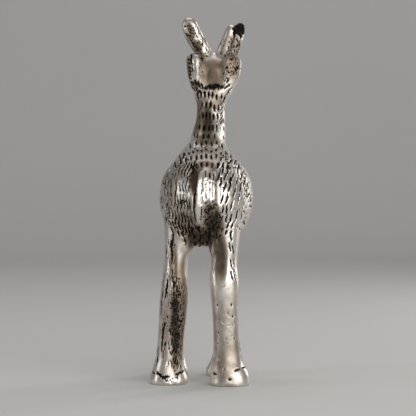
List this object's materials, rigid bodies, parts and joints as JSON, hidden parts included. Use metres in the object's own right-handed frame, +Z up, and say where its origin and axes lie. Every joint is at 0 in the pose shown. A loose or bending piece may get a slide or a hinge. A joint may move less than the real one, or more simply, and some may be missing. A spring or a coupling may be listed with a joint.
{
  "type": "deer statue",
  "caption": "Standing deer cast in one piece in polished aluminium, with fur cut in short strokes and darkened hollows",
  "frame": {"origin": "centre of the bounding box's underside, on the surface the feet stand on", "axes": "+Z up, +Y the way the deer looks, +X its right-hand side; the picture looks along +Y"},
  "size_m": [0.084, 0.1472, 0.3],
  "materials": {
    "aluminium": "warm silver, polished on the high places, with a rough dark brown patina left in every stroke and hollow"
  },
  "bodies": {
    "root": {"deer": "aluminium"}
  },
  "joints": []
}
